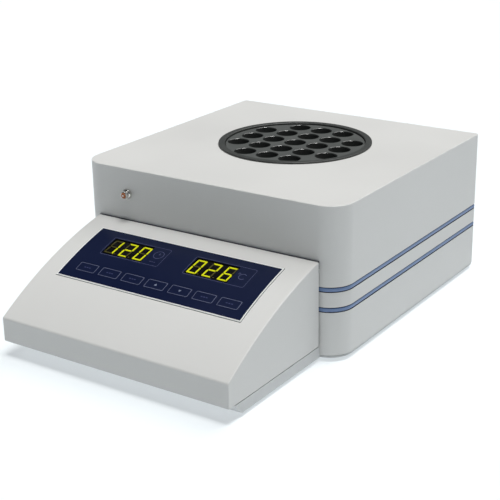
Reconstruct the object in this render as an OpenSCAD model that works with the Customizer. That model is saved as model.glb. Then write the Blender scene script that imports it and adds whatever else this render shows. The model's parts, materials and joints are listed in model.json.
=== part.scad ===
// Dry block heater: a painted steel case holds a round aluminium block with 21 vial wells, and a low
// console with a curved top stands in front of it and carries two displays and seven keys.
// Millimetres, +Z up, the user sits at -Y. The origin is on the table, under the middle of the outline.

/* [Case] */
// Width of the case
case_w = 245; // [235:1:280]
// Depth of the case, without the console
case_d = 240; // [236:1:260]
// Height of the case above its feet
case_h = 121; // [119:1:130]
// Sheet thickness of the case and the console
wall = 2; // [1.6:0.1:2.2]
// Radius of the two upright front corners
front_r = 20; // [14:1:24]
// Radius of the two upright rear corners
rear_r = 3; // [2.5:0.5:11]
// Thickness of the base plate
plate_t = 1.2; // [1:0.1:1.6]
// Height of the rubber feet
foot_h = 3; // [2.5:0.5:5]

/* [Stripes] */
// Height of each inlaid stripe
stripe_h = 3.7; // [2.5:0.1:5]
// Depth of the groove that a stripe lies in
stripe_t = 0.8; // [0.6:0.1:1]
// Middle of the upper stripe, above the underside of the case
upper_stripe_z = 55.5; // [52:0.5:70]
// Middle of the lower stripe, above the underside of the case
lower_stripe_z = 39.3; // [34:0.5:45]

/* [Heating block] */
// Distance of the block's axis behind the case's front face
block_setback = 134.7; // [130:0.1:136]
// Radius of the block
block_r = 59.4; // [59:0.1:59.6]
// Height of the block
block_h = 76.5; // [74:0.5:78]
// Bore of a vial well, for vials of 16 to 17 mm
well_d = 17.5; // [16:0.1:17.6]
// Depth of a vial well
well_depth = 62; // [50:1:62]
// Distance between neighbouring wells
well_pitch = 21.8; // [21:0.1:22]
// Outer diameter of the ring around the block
ring_d = 131; // [129:1:134]
// How far the block's face lies below the top of the ring
ring_drop = 1.5; // [1:0.5:3]

/* [Console] */
// Width of the console
console_w = 210.8; // [206:0.2:214]
// Length of the console in front of the case
console_l = 119.5; // [118:0.5:124]
// Height of the console's top where it meets the case, above the case's underside
console_back_h = 78; // [77:0.5:80]
// Height of the top edge of the console's front lip
lip_h = 28.6; // [27:0.2:30]
// Radius of the console's curved top, seen from the side
arc_r = 340; // [335:1:380]
// Height of the tray under the console
tray_h = 9; // [8:0.5:10]
// Open joint between the tray and the console's cover
tray_gap = 0.6; // [0.4:0.1:0.8]

/* [Panel] */
// Width of the key panel
panel_w = 171.4; // [168:0.2:174]
// Length of the key panel along the curve
panel_l = 59.4; // [58:0.2:61]
// Sideways offset of the panel from the middle of the console
panel_x = -0.9; // [-3:0.1:0]
// Distance of the panel's middle from the back of the console, along the curve
panel_s = 49; // [48:0.2:50]
// Width of a key
key_w = 18.4; // [16:0.1:19]
// Length of a key along the curve
key_l = 9; // [8:0.1:9.5]
// Distance between neighbouring keys
key_pitch = 22.3; // [22:0.1:22.5]

/* [Displays] */
// Width of a three-digit display module
display_w = 38.8; // [37:0.1:39]
// Length of a display module along the curve
display_l = 19; // [18:0.1:19.5]
// Height of a digit
digit_h = 15.8; // [14:0.1:16]
// Width of a digit between the middles of its upright strokes
digit_w = 7.3; // [6.5:0.1:7.3]
// Distance between neighbouring digits
digit_pitch = 14.1; // [13:0.1:14.1]

/* [Rear] */
// Side of the square cooling fan
fan_w = 60; // [60:1:60]
// Depth of the cooling fan
fan_t = 15; // [10:1:15]
// Tilt of the rocker from its middle position
rocker_tilt = 10; // [6:1:12]

/* [Hidden] */
$fn = 96;
eps = 0.01;

// screws, shafts and clearances
screw_r = 1.5;
head_r = 2.8;
head_h = 1.7;
bolt_r = 2;
stem_hole_r = 2.6;
shaft_r = 1.5;
shaft_gap = 0.05;
fit = 0.1;

// places of the main faces
rear_trim = 3.5;
front_y = (console_l - case_d - rear_trim) / 2;
rear_y = front_y + case_d;
lip_y = front_y - console_l;
case_z = foot_h + plate_t;
case_top = foot_h + case_h;
case_x = case_w / 2;
stripe_joint = 0.15;
vent_x = 96;

// heating block stack
block_y = front_y + block_setback;
ring_t = 1.5;
ring_top = case_top + ring_t;
ring_in_r = block_r + 0.4;
collar_r = ring_in_r + 3.2;
collar_h = 12;
hole_r = collar_r + 0.4;
block_top = ring_top - ring_drop;
block_z = block_top - block_h;
heater_t = 4;
clamp_t = 3;
clamp_r = 74;
clamp_z = block_z - heater_t - clamp_t;
jacket_r = 73;
jacket_t = 0.8;
insulation_gap = 0.2;
post_ring_r = 66;
post_r = 4;
shield_z = 24;
shield_t = 1;
sensor_r = 2;
sensor_z = block_z + 6;
cutout_r = 8;
clamp_screw_r = 50;

// grid of wells: five by five without the corners
grid = [for (i = [-2:2], j = [-2:2]) if (abs(i) + abs(j) < 4) [i * well_pitch, j * well_pitch]];
chamfer = 0.85;

// curved top of the console: an arc through its back edge and its lip's top edge
back_z = foot_h + console_back_h;
lip_z = foot_h + lip_h;
chord = norm([console_l, back_z - lip_z]);
chord_a = atan2(back_z - lip_z, console_l);
arc_dist = sqrt(arc_r * arc_r - chord * chord / 4);
arc_y = front_y - console_l / 2 + arc_dist * sin(chord_a);
arc_z = (back_z + lip_z) / 2 - arc_dist * cos(chord_a);
arc_a0 = asin((arc_y - front_y) / arc_r);
console_x = console_w / 2;
tray_t = 1.5;
tray_top = foot_h + tray_h;
cover_z = tray_top + tray_gap;
flange_l = 9;

// key panel
rim_w = 1.1;
rim_up = 0.5;
frame_t = 2.6;
frame_w = panel_w + 2 * rim_w;
frame_l = panel_l + 2 * rim_w;
frame_gap = 0.3;
overlay_t = 0.8;
key_s = 66.2;
key_gap = 0.3;
key_row_x = 1.1;
key_t = 1.6;
stem_l = 6.9;
display_s = 37.8;
time_x = -46.6;
temperature_x = 33.9;
display_t = 8;
display_face = 0.1;
digit_t = 0.5;
digit_lean = 4.5;
stroke = 1.1;
recess_rim = 0.3;
board_s = panel_s;
board_drop = 10;
board_t = 1.6;
board_w = 158;
board_l = 52;
stem_r = 1.4;
switch_w = 6;
switch_h = 3.6;
standoff_x = board_w / 2 - 5;
standoff_y = board_l / 2 - 5;

// rear panel and what it carries
panel_t = 1.5;
rear_w = 200;
rear_z0 = foot_h + 15;
rear_z1 = foot_h + 105;
rear_lap = 8;
rear_face = rear_y - wall;
fan_x = -58;
fan_z = foot_h + 60;
fan_bore_r = 28.5;
fan_screw = 25;
inlet_x = 66;
inlet_z = foot_h + 42;
inlet_w = 27;
inlet_h = 20;
rocker_x = 66;
rocker_z = foot_h + 80;
guard_wire = 1.6;
guard_y = rear_y + rear_trim - guard_wire / 2;
eye_t = 1.2;
inlet_flange_t = 2.4;
inlet_screw = 20;
inlet_socket = 17;
inlet_pins = [[-7, 2], [0, -2], [7, 2]];
pivot_y = rear_face - 1.4;
rocker_w = 10.6;

// electronics behind the case's front wall
supply_z = foot_h + 10;
supply_w = 120;
supply_l = 46;
supply_x = 38;
supply_y = front_y + 30;
transformer_x = -64;
transformer_y = front_y + 30;
cable_hole_x = 38;
cable_hole_z = foot_h + 66;
cable_hole_w = 22;
fuse_x = 2;
fuse_y = supply_y + 8;
sink_x = 60;
sink_y = supply_y - 12;

// socket for the outside probe
socket_x = -75;
socket_z = foot_h + 99.7;

// places of the feet and of the screws that hold the base plate
feet = [[-96, front_y + 26], [96, front_y + 26], [-96, rear_y - 26], [96, rear_y - 26],
        [-84, lip_y + 36], [84, lip_y + 36]];
base_screws = [for (sx = [-1, 1], y = [front_y + 40, front_y + 120, rear_y - 40])
    [sx * (case_x - wall - 6), y]];
console_screws = [for (sx = [-1, 1], y = [front_y - 18, front_y - 92]) [sx * (console_x - 8), y]];
console_bolts = [for (sx = [-1, 1], z = [26, 65]) [sx * (console_x - 12), foot_h + z]];
supply_screws = [for (sx = [-1, 1], sy = [-1, 1])
    [supply_x + sx * (supply_w / 2 - 5), supply_y + sy * (supply_l / 2 - 5)]];
rear_screws = [for (sx = [-1, 1], z = [rear_z0 + 5, (rear_z0 + rear_z1) / 2, rear_z1 - 5])
    [sx * (rear_w / 2 + 4), z]];

// ---------- shared shapes ----------

// plan of the case, pulled in by inset on every side
module case_outline(inset = 0) {
    x = case_x - inset;
    y0 = front_y + inset;
    y1 = rear_y - inset;
    fr = front_r - inset;
    rr = rear_r - inset;
    translate([-x, y0 + fr]) square([2 * x, y1 - y0 - fr - rr]);
    translate([-x + fr, y0]) square([2 * (x - fr), y1 - y0 - fr]);
    translate([-x + rr, y1 - rr - 1]) square([2 * (x - rr), rr + 1]);
    for (s = [-1, 1]) {
        translate([s * (x - fr), y0 + fr]) circle(fr);
        translate([s * (x - rr), y1 - rr]) circle(rr);
    }
}

// a box given by its lowest and highest corners
module span(a, b) {
    translate(a) cube(b - a);
}

// a plate with four rounded corners, centred in plan, from z0 up to z0 + t
module rounded_plate(w, l, t, r, z0 = 0) {
    translate([0, 0, z0]) linear_extrude(t) {
        square([w - 2 * r, l], center = true);
        square([w, l - 2 * r], center = true);
        for (sx = [-1, 1], sy = [-1, 1]) translate([sx * (w / 2 - r), sy * (l / 2 - r)]) circle(r);
    }
}

// a pan-head screw with a cross slot, whose head rests on z = 0 and whose shank runs down
module screw(length, r = screw_r) {
    head = head_r * r / screw_r;
    difference() {
        union() {
            cylinder(r = head, h = head_h);
            translate([0, 0, -length]) cylinder(r = r, h = length + eps);
        }
        for (a = [0, 90]) rotate(a) translate([-head * 0.6, -0.35, head_h - 0.9]) cube([head * 1.2, 0.7, 1]);
    }
}

// children turned so that their Z points to the rear
module facing_rear() {
    rotate([-90, 0, 0]) children();
}

// a hole of radius r right through a sheet whose outer face is the plane y
module hole_y(x, y, z, r) {
    translate([x, y, z]) rotate([90, 0, 0]) cylinder(r = r, h = 12, center = true);
}

// a hole of radius r right through a sheet that lies flat at height z
module hole_z(x, y, z, r) {
    translate([x, y, z]) cylinder(r = r, h = 12, center = true);
}

// a round lead swept along points, as one closed tube
function unit(v) = v / norm(v);
function tangent(p, i) = unit(p[min(i + 1, len(p) - 1)] - p[max(i - 1, 0)]);
function bezier(p, t) = (1 - t) * (1 - t) * p[0] + 2 * t * (1 - t) * p[1] + t * t * p[2];
// a route with its inner corners rounded into short curves
function rounded_route(p, n = 4) = [
    p[0],
    for (i = [1:len(p) - 2]) let (a = (p[i - 1] + p[i]) / 2, b = (p[i] + p[i + 1]) / 2)
        for (k = [0:n]) bezier([a, p[i], b], k / n),
    p[len(p) - 1]
];
module lead(points, d, sides = 8) {
    p = rounded_route(points);
    n = len(p);
    rings = [for (i = [0:n - 1]) let (
            t = tangent(p, i),
            u = unit(cross(t, abs(t[2]) < 0.8 ? [0, 0, 1] : [1, 0.2, 0])),
            v = cross(t, u))
        for (k = [0:sides - 1]) p[i] + d / 2 * (cos(360 * k / sides) * u + sin(360 * k / sides) * v)];
    walls = [for (i = [0:n - 2], k = [0:sides - 1]) let (k2 = (k + 1) % sides)
        [i * sides + k, i * sides + k2, (i + 1) * sides + k2, (i + 1) * sides + k]];
    ends = [[for (k = [sides - 1:-1:0]) k], [for (k = [0:sides - 1]) (n - 1) * sides + k]];
    polyhedron(rings, concat(walls, ends), 4);
}

// children stand on the console's curved top, s along the curve from its back edge; Z is the outward normal
module on_curve(s) {
    translate([0, arc_y, arc_z]) rotate([arc_a0 + s / arc_r * 180 / PI, 0, 0])
        translate([0, 0, arc_r]) children();
}

// the solid under the curved top, pulled in by inset, down to z0
module under_curve(inset, z0, back = 0) {
    intersection() {
        translate([0, arc_y, arc_z]) rotate([0, 90, 0])
            cylinder(r = arc_r - inset, h = console_w + 20, center = true, $fn = 360);
        span([-console_x + inset, lip_y + inset, z0], [console_x - inset, front_y + back, back_z + 5]);
    }
}

// a curved plate between two heights above the console's top, w wide and l along the curve
module curved_plate(w, l, low, high, s = panel_s) {
    intersection() {
        translate([0, arc_y, arc_z]) rotate([0, 90, 0]) difference() {
            cylinder(r = arc_r + high, h = console_w, center = true, $fn = 360);
            cylinder(r = arc_r + low, h = console_w + 1, center = true, $fn = 360);
        }
        on_curve(s) translate([panel_x, 0, 0]) cube([w, l, 30], center = true);
    }
}

function key_x(i) = key_row_x + (i - 4) * key_pitch;

// ---------- case ----------

module main_casing() {
    color([0.86, 0.87, 0.86]) difference() {
        union() {
            difference() {
                translate([0, 0, case_z]) linear_extrude(case_top - case_z) case_outline();
                translate([0, 0, case_z - 1]) linear_extrude(case_top - wall - case_z + 1) case_outline(wall);
            }
            for (p = base_screws) translate([p[0], p[1], case_z + 5]) cube([12, 12, 10], center = true);
        }
        translate([0, block_y, case_top - wall - 1]) cylinder(r = hole_r, h = wall + 2);
        stripe_groove(upper_stripe_z);
        stripe_groove(lower_stripe_z);
        span([-rear_w / 2, rear_y - wall - 1, rear_z0], [rear_w / 2, rear_y + 1, rear_z1]);
        for (p = rear_screws) hole_y(p[0], rear_y, p[1], screw_r + fit);
        for (p = base_screws) hole_z(p[0], p[1], case_z, screw_r + fit);
        for (p = console_bolts) hole_y(p[0], front_y, p[1], bolt_r + fit);
        hole_y(socket_x, front_y, socket_z, 3.2);
        translate([cable_hole_x, front_y, cable_hole_z]) cube([cable_hole_w, 4 * wall, 12], center = true);
    }
}

// keeps what runs along the left side, the front and the right side, up to the end of the rear corners
module round_the_front() {
    difference() {
        children();
        span([-case_x + rear_r, rear_y - rear_r, 0], [case_x - rear_r, rear_y + 5, case_top]);
    }
}

module stripe(z) {
    round_the_front() translate([0, 0, foot_h + z - stripe_h / 2]) linear_extrude(stripe_h) difference() {
        case_outline();
        case_outline(stripe_t);
    }
}

// the groove for a stripe leaves a fine joint above and below it
module stripe_groove(z) {
    h = stripe_h + 2 * stripe_joint;
    round_the_front() translate([0, 0, foot_h + z - h / 2]) linear_extrude(h) difference() {
        case_outline(-1);
        case_outline(stripe_t);
    }
}

module upper_stripe() { color([0.35, 0.47, 0.68]) stripe(upper_stripe_z); }

module lower_stripe() { color([0.35, 0.47, 0.68]) stripe(lower_stripe_z); }

module base_plate() {
    color([0.78, 0.79, 0.79]) difference() {
        translate([0, 0, foot_h]) linear_extrude(plate_t) case_outline(0.6);
        for (p = base_screws) hole_z(p[0], p[1], foot_h, screw_r + fit);
        for (i = [0:3]) hole_z(feet[i][0], feet[i][1], foot_h, stem_hole_r);
        for (sx = [-1, 1], i = [0:5]) translate([sx * vent_x, block_y - 30 + 10 * i, foot_h])
            cube([26, 3.4, 4 * plate_t], center = true);
    }
}

module base_screw_set() {
    color("silver") for (p = base_screws) translate([p[0], p[1], foot_h]) rotate([180, 0, 0]) screw(6);
}

// a rubber foot: a hollow pad with a stem and a bulb that snaps through a hole in the plate above
module foot(plate) {
    rotate_extrude() polygon([[3, 0], [7.4, 0], [8, foot_h], [stem_hole_r - fit, foot_h],
        [stem_hole_r - fit, foot_h + plate], [stem_hole_r + 0.6, foot_h + plate],
        [1.4, foot_h + plate + 2.2], [0, foot_h + plate + 2.2], [0, 1.2], [3, 1.2]]);
}

module feet_set() {
    color([0.1, 0.1, 0.1]) for (i = [0:5]) translate([feet[i][0], feet[i][1], 0])
        foot(i < 4 ? plate_t : tray_t);
}

// ---------- rear ----------

module rear_panel() {
    color([0.82, 0.83, 0.83]) difference() {
        span([-rear_w / 2 - rear_lap, rear_face - panel_t, rear_z0 - rear_lap],
             [rear_w / 2 + rear_lap, rear_face, rear_z1 + rear_lap]);
        hole_y(fan_x, rear_face, fan_z, fan_bore_r);
        for (sx = [-1, 1], sz = [-1, 1])
            hole_y(fan_x + sx * fan_screw, rear_face, fan_z + sz * fan_screw, screw_r + fit);
        for (sx = [-1, 1]) hole_y(inlet_x + sx * inlet_screw, rear_face, inlet_z, screw_r + fit);
        for (p = rear_screws) hole_y(p[0], rear_face, p[1], screw_r + fit);
        translate([inlet_x, rear_face, inlet_z])
            cube([inlet_w + 0.4, 4 * panel_t, inlet_h + 0.4], center = true);
        translate([rocker_x, rear_face, rocker_z]) cube([19.4, 4 * panel_t, 13.4], center = true);
    }
}

module rear_screw_set() {
    color("silver") {
        for (p = rear_screws) translate([p[0], rear_y, p[1]]) facing_rear() screw(5);
        for (sx = [-1, 1], sz = [-1, 1])
            translate([fan_x + sx * fan_screw, rear_face + eye_t, fan_z + sz * fan_screw])
                facing_rear() screw(8);
        for (sx = [-1, 1])
            translate([inlet_x + sx * inlet_screw, rear_face + inlet_flange_t, inlet_z])
                facing_rear() screw(6);
    }
}

// fan frame: a square body with a round duct, a hub on four struts and a bearing hole
module fan_frame() {
    color([0.12, 0.12, 0.13]) translate([fan_x, rear_face - panel_t - fan_t, fan_z])
    facing_rear() difference() {
        union() {
            difference() {
                rounded_plate(fan_w, fan_w, fan_t, 4);
                translate([0, 0, -1]) cylinder(r = fan_bore_r, h = fan_t + 2);
            }
            cylinder(r = 12, h = 2);
            for (a = [0:90:270]) rotate(a) translate([10, -1.6, 0]) cube([fan_bore_r - 9, 3.2, 2]);
            cylinder(r = 3.5, h = 7);
        }
        translate([0, 0, 1]) cylinder(r = shaft_r + shaft_gap, h = fan_t);
        for (sx = [-1, 1], sy = [-1, 1]) hole_z(sx * fan_screw, sy * fan_screw, fan_t, screw_r + fit);
    }
}

// fan rotor: a cup hub on a shaft, with seven pitched blades
module fan_rotor() {
    color([0.16, 0.16, 0.17]) translate([fan_x, rear_face - panel_t - fan_t, fan_z]) facing_rear() {
        difference() {
            translate([0, 0, 2.6]) cylinder(r = 12, h = fan_t - 3.6);
            translate([0, 0, 2]) cylinder(r = 10.5, h = fan_t - 4.6);
        }
        translate([0, 0, 1.4]) cylinder(r = shaft_r, h = fan_t - 3);
        intersection() {
            difference() {
                translate([0, 0, 2.8]) cylinder(r = fan_bore_r - 0.8, h = fan_t - 4.4);
                translate([0, 0, 2]) cylinder(r = 11.5, h = fan_t);
            }
            for (i = [0:6]) rotate(i * 360 / 7) translate([20, 0, fan_t / 2]) rotate([52, 0, 0])
                cube([20, 1.3, 22], center = true);
        }
    }
}

// wire guard: four rings on four bent legs, each with an eye under a screw of the fan
module fan_guard() {
    color("silver") {
        for (r = [8, 14, 20, 26]) translate([fan_x, guard_y, fan_z]) rotate([90, 0, 0])
            rotate_extrude() translate([r, 0]) circle(guard_wire / 2, $fn = 24);
        translate([fan_x, 0, fan_z]) for (a = [45:90:315]) rotate([0, a, 0]) guard_leg();
    }
}

module guard_leg() {
    out = fan_screw * sqrt(2);
    leg = 1.4;
    eye_r = head_r + 1;
    span([7.4, guard_y - 1.5, -leg / 2], [out - eye_r, guard_y - 0.2, leg / 2]);
    span([out - eye_r - leg + 0.6, rear_face, -leg / 2], [out - eye_r + 0.6, guard_y - 0.2, leg / 2]);
    difference() {
        translate([out, rear_face, 0]) facing_rear() cylinder(r = eye_r, h = eye_t);
        hole_y(out, rear_face, 0, screw_r + fit);
    }
}

// appliance inlet: a flanged shell around a deep socket that opens to the rear
module power_inlet() {
    color([0.1, 0.1, 0.1]) translate([inlet_x, rear_face, inlet_z]) facing_rear() difference() {
        union() {
            rounded_plate(50, 24, inlet_flange_t, 4);
            translate([-inlet_w / 2, -inlet_h / 2, -23]) cube([inlet_w, inlet_h, 24]);
        }
        translate([0, 0, -inlet_socket]) linear_extrude(30) difference() {
            square([24, 16.4], center = true);
            for (s = [-1, 1]) translate([s * 12, 8.2]) rotate(45) square(5.2, center = true);
        }
        for (p = inlet_pins) translate([p[0], p[1], -20]) cube([2.1, 4.1, 20], center = true);
        for (s = [-1, 1]) hole_z(s * inlet_screw, 0, 0, screw_r + fit);
    }
}

module inlet_pin_set() {
    color("silver") translate([inlet_x, rear_face, inlet_z]) facing_rear()
        for (p = inlet_pins) translate([p[0] - 1, p[1] - 2, -28]) cube([2, 4, 24]);
}

// mains switch: a snap-in body with an open well and two small bearing holes
module rocker_body() {
    color([0.1, 0.1, 0.1]) translate([rocker_x, 0, rocker_z]) difference() {
        union() {
            span([-11.5, rear_face, -8], [11.5, rear_face + 1.6, 8]);
            span([-9.5, rear_face - 19, -6.5], [9.5, rear_face + 1, 6.5]);
            for (i = [-1:1]) span([i * 6 - 0.4, rear_face - 26, -2.4], [i * 6 + 0.4, rear_face - 18, 2.4]);
        }
        span([-8.5, pivot_y - 8, -rocker_w / 2 - 0.3], [8.5, rear_face + 3, rocker_w / 2 + 0.3]);
        translate([0, pivot_y, 0]) cylinder(r = shaft_r + shaft_gap, h = 20, center = true);
    }
}

// rocker: a shallow V across its pivot, stored pressed down on its right-hand side
module rocker() {
    color([0.15, 0.15, 0.15]) translate([rocker_x, pivot_y, rocker_z]) rotate(-rocker_tilt) {
        linear_extrude(rocker_w, center = true)
            polygon([[-7.4, 4.6], [0, 3.4], [7.4, 4.6], [7.4, 1], [5.5, -3.2], [-5.5, -3.2], [-7.4, 1]]);
        cylinder(r = shaft_r, h = rocker_w + 2, center = true);
    }
}

// ---------- heating block ----------

// aluminium block: blind wells with chamfered mouths, four screw holes below and a sensor hole in front
module heating_block() {
    color([0.30, 0.31, 0.31]) translate([0, block_y, 0]) difference() {
        translate([0, 0, block_z]) cylinder(r = block_r, h = block_h);
        for (p = grid) translate([p[0], p[1], block_top]) {
            translate([0, 0, -well_depth]) cylinder(r = well_d / 2, h = well_depth + 1);
            translate([0, 0, -chamfer])
                cylinder(r1 = well_d / 2, r2 = well_d / 2 + chamfer, h = chamfer + eps);
        }
        for (a = [45:90:315]) rotate(a) translate([clamp_screw_r, 0, block_z - 1])
            cylinder(r = bolt_r + fit, h = 9);
        translate([0, -block_r - 1, sensor_z]) facing_rear() cylinder(r = sensor_r + fit, h = 31);
    }
}

// black ring that covers the joint between the block and the case, with a bevelled inner edge
module block_ring() {
    color([0.16, 0.17, 0.17]) translate([0, block_y, 0]) rotate_extrude() polygon([
        [ring_in_r, case_top - collar_h], [collar_r, case_top - collar_h], [collar_r, case_top],
        [ring_d / 2, case_top], [ring_d / 2, ring_top - 0.5], [ring_d / 2 - 0.5, ring_top],
        [ring_in_r + 0.8, ring_top], [ring_in_r, ring_top - 0.8]]);
}

module tube(r_in, r_out, z0, z1) {
    translate([0, block_y, z0]) difference() {
        cylinder(r = r_out, h = z1 - z0);
        translate([0, 0, -1]) cylinder(r = r_in, h = z1 - z0 + 2);
    }
}

// the window in front of the block through which the sensor and the heater's leads come out
module lead_window() {
    span([-8, block_y - jacket_r - 2, block_z - heater_t - 1], [8, block_y - block_r + 4, sensor_z + 4]);
}

module block_insulation() {
    color([0.9, 0.88, 0.8]) difference() {
        tube(block_r + insulation_gap, jacket_r - jacket_t - insulation_gap,
             clamp_z + clamp_t, case_top - collar_h - insulation_gap);
        lead_window();
    }
}

module insulation_jacket() {
    color("silver") difference() {
        tube(jacket_r - jacket_t, jacket_r, clamp_z + clamp_t, case_top - collar_h);
        lead_window();
    }
}

module heater_plate() {
    color([0.65, 0.5, 0.3]) difference() {
        union() {
            translate([0, block_y, block_z - heater_t]) cylinder(r = 54, h = heater_t);
            span([-7, block_y - 59, block_z - heater_t], [7, block_y - 50, block_z]);
        }
        translate([0, block_y, 0]) for (a = [45:90:315]) rotate(a)
            hole_z(clamp_screw_r, 0, block_z, bolt_r + fit);
    }
}

module heater_clamp() {
    color("silver") translate([0, block_y, 0]) difference() {
        translate([0, 0, clamp_z]) cylinder(r = clamp_r, h = clamp_t);
        for (a = [45:90:315]) rotate(a) hole_z(clamp_screw_r, 0, clamp_z, bolt_r + fit);
    }
}

module clamp_screw_set() {
    color("silver") translate([0, block_y, clamp_z]) for (a = [45:90:315]) rotate(a)
        translate([clamp_screw_r, 0, 0]) rotate([180, 0, 0]) screw(14, bolt_r);
}

module base_insulation() {
    color([0.9, 0.88, 0.8]) difference() {
        tube(cutout_r + 2, post_ring_r - post_r - 2, shield_z + shield_t, clamp_z);
        for (a = [45:90:315]) translate([0, block_y, 0]) rotate(a)
            translate([clamp_screw_r, 0, clamp_z - 6]) cylinder(r = 5, h = 8);
    }
}

module heat_shield() {
    color("silver") difference() {
        tube(cutout_r + 2, clamp_r, shield_z, shield_z + shield_t);
        translate([0, block_y, 0]) for (a = [0:90:270]) rotate(a)
            hole_z(post_ring_r, 0, shield_z, post_r + fit);
    }
}

// posts with a shoulder under the shield
module block_post_set() {
    color("silver") translate([0, block_y, 0]) for (a = [0:90:270]) rotate(a) translate([post_ring_r, 0, 0]) {
        translate([0, 0, case_z]) cylinder(r = post_r, h = clamp_z - case_z);
        translate([0, 0, case_z]) cylinder(r = post_r + 2, h = shield_z - case_z);
    }
}

module temperature_sensor() {
    color("silver") translate([0, block_y - block_r, sensor_z]) facing_rear() {
        translate([0, 0, -15]) cylinder(r = sensor_r, h = 44);
        translate([0, 0, -17]) cylinder(r = sensor_r + 1.2, h = 3);
    }
}

// bimetal cut-out: a disc under the clamp plate with two blade terminals
module thermal_cutout() {
    color([0.55, 0.35, 0.2]) translate([0, block_y, clamp_z]) {
        translate([0, 0, -7]) cylinder(r = cutout_r, h = 7);
        for (s = [-1, 1]) translate([s * 4 - 0.4, -1.5, -14]) cube([0.8, 3, 8]);
    }
}

// ---------- probe socket ----------

// threaded barrel through the case's front with a round nut outside and a flange inside
module probe_socket() {
    color("silver") translate([socket_x, front_y, socket_z]) rotate([90, 0, 0]) difference() {
        union() {
            translate([0, 0, -wall - 9]) cylinder(r = 3, h = wall + 14.4);
            cylinder(r = 4.1, h = 2.4);
            translate([0, 0, 2.4 - eps]) cylinder(r1 = 4.1, r2 = 3.2, h = 0.8);
            translate([0, 0, -wall - 2]) cylinder(r = 5, h = 2);
        }
        translate([0, 0, -wall - 10]) cylinder(r = 2.2, h = wall + 20);
    }
}

// insulator with a fine contact hole
module probe_insulator() {
    color([0.55, 0.25, 0.12]) translate([socket_x, front_y, socket_z]) rotate([90, 0, 0]) difference() {
        translate([0, 0, -wall - 9]) cylinder(r = 2.15, h = wall + 15.2);
        translate([0, 0, -wall]) cylinder(r = 0.6, h = 12);
    }
}

// ---------- console ----------

// cover: curved top, flat sides, a front lip turned in over the tray's edge, four bosses for the tray's
// screws and two tabs against the case
module console_cover() {
    color([0.84, 0.85, 0.84]) difference() {
        union() {
            difference() {
                under_curve(0, cover_z);
                under_curve(wall, cover_z - 1, 1);
            }
            span([-console_x + wall / 2, lip_y + wall / 2, cover_z],
                 [console_x - wall / 2, lip_y + flange_l, cover_z + wall]);
            intersection() {
                under_curve(wall / 2, tray_top - tray_h + tray_t + fit);
                union() {
                    for (p = console_screws) translate([p[0], p[1], 0]) cylinder(r = 4, h = 100);
                    for (s = [-1, 1]) translate([s * (console_x - 12), front_y - wall / 2, foot_h + 44])
                        cube([22, wall, 56], center = true);
                }
            }
        }
        for (p = console_screws) translate([p[0], p[1], 0]) cylinder(r = screw_r + fit, h = foot_h + 18);
        for (p = console_bolts) hole_y(p[0], front_y, p[1], bolt_r + fit);
        on_curve(panel_s) translate([panel_x, 0, 0])
            cube([frame_w + 2 * frame_gap, frame_l + 2 * frame_gap, 12], center = true);
    }
}

// tray: a shallow pan whose front wall slopes back under the lip
module console_tray() {
    slope = [[lip_y + 7, tray_top], [lip_y + 15.4, foot_h]];
    color([0.80, 0.81, 0.82]) difference() {
        prism_x(console_x, [slope[0], slope[1], [front_y, foot_h], [front_y, tray_top]]);
        prism_x(console_x - tray_t, [slope[0] + [tray_t, 1], slope[1] + [tray_t, tray_t],
                                     [front_y - tray_t, foot_h + tray_t], [front_y - tray_t, tray_top + 1]]);
        for (p = console_screws) hole_z(p[0], p[1], foot_h, screw_r + fit);
        for (i = [4, 5]) hole_z(feet[i][0], feet[i][1], foot_h, stem_hole_r);
    }
}

// a prism across the whole width: points are [y, z] pairs
module prism_x(half, points) {
    rotate([90, 0, 90]) linear_extrude(2 * half, center = true) polygon(points);
}

module console_screw_set() {
    color("silver") for (p = console_screws) translate([p[0], p[1], foot_h]) rotate([180, 0, 0]) screw(12);
}

module console_bolt_set() {
    color("silver") for (p = console_bolts) translate([p[0], front_y + wall, p[1]]) rotate([-90, 0, 0])
        screw(2 * wall + 2, bolt_r);
}

// frame: a rimmed plate that fills the console's window, with a lip under the window's edge
module panel_frame() {
    color([0.93, 0.93, 0.93]) difference() {
        union() {
            curved_plate(frame_w, frame_l, -frame_t, rim_up);
            curved_plate(frame_w + 8, frame_l + 8, -frame_t - 0.6, -wall - 0.05);
        }
        curved_plate(panel_w, panel_l, rim_up - overlay_t, rim_up + 1);
        panel_openings(key_gap);
    }
}

// what is cut through the panel for the displays and the keys, each larger by gap on every side
module panel_openings(gap) {
    for (x = [time_x, temperature_x]) on_curve(display_s) translate([x, 0, 0])
        cube([display_w + 2 * gap, display_l + 2 * gap, 12], center = true);
    for (i = [1:7]) on_curve(key_s) translate([key_x(i), 0, 0])
        rounded_plate(key_w + 2 * gap, key_l + 2 * gap, 12, 1.2 + gap, -6);
}

module panel_overlay() {
    color([0.09, 0.12, 0.26]) difference() {
        curved_plate(panel_w - 2 * fit, panel_l - 2 * fit, rim_up - overlay_t + 0.02, rim_up);
        panel_openings(key_gap);
    }
}

// one key: a flush cap on a stem that reaches into its switch
module key(i) {
    color([0.10, 0.13, 0.28]) on_curve(key_s) translate([key_x(i), 0, 0]) {
        rounded_plate(key_w, key_l, key_t, 1.2, rim_up - key_t);
        translate([0, 0, -stem_l]) cylinder(r = stem_r, h = stem_l);
    }
}

module key_1() { key(1); }

module key_2() { key(2); }

module key_3() { key(3); }

module key_4() { key(4); }

module key_5() { key(5); }

module key_6() { key(6); }

module key_7() { key(7); }

// switches stand on the control board, each with a round well that takes a key's stem
module key_switch_set() {
    color([0.2, 0.2, 0.2]) on_curve(board_s) for (i = [1:7])
        translate([key_x(i), board_s - key_s, -board_drop]) difference() {
            translate([-switch_w / 2, -switch_w / 2, 0]) cube([switch_w, switch_w, switch_h]);
            translate([0, 0, switch_h - 1.8]) cylinder(r = stem_r + 0.5, h = 3);
        }
}

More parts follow.
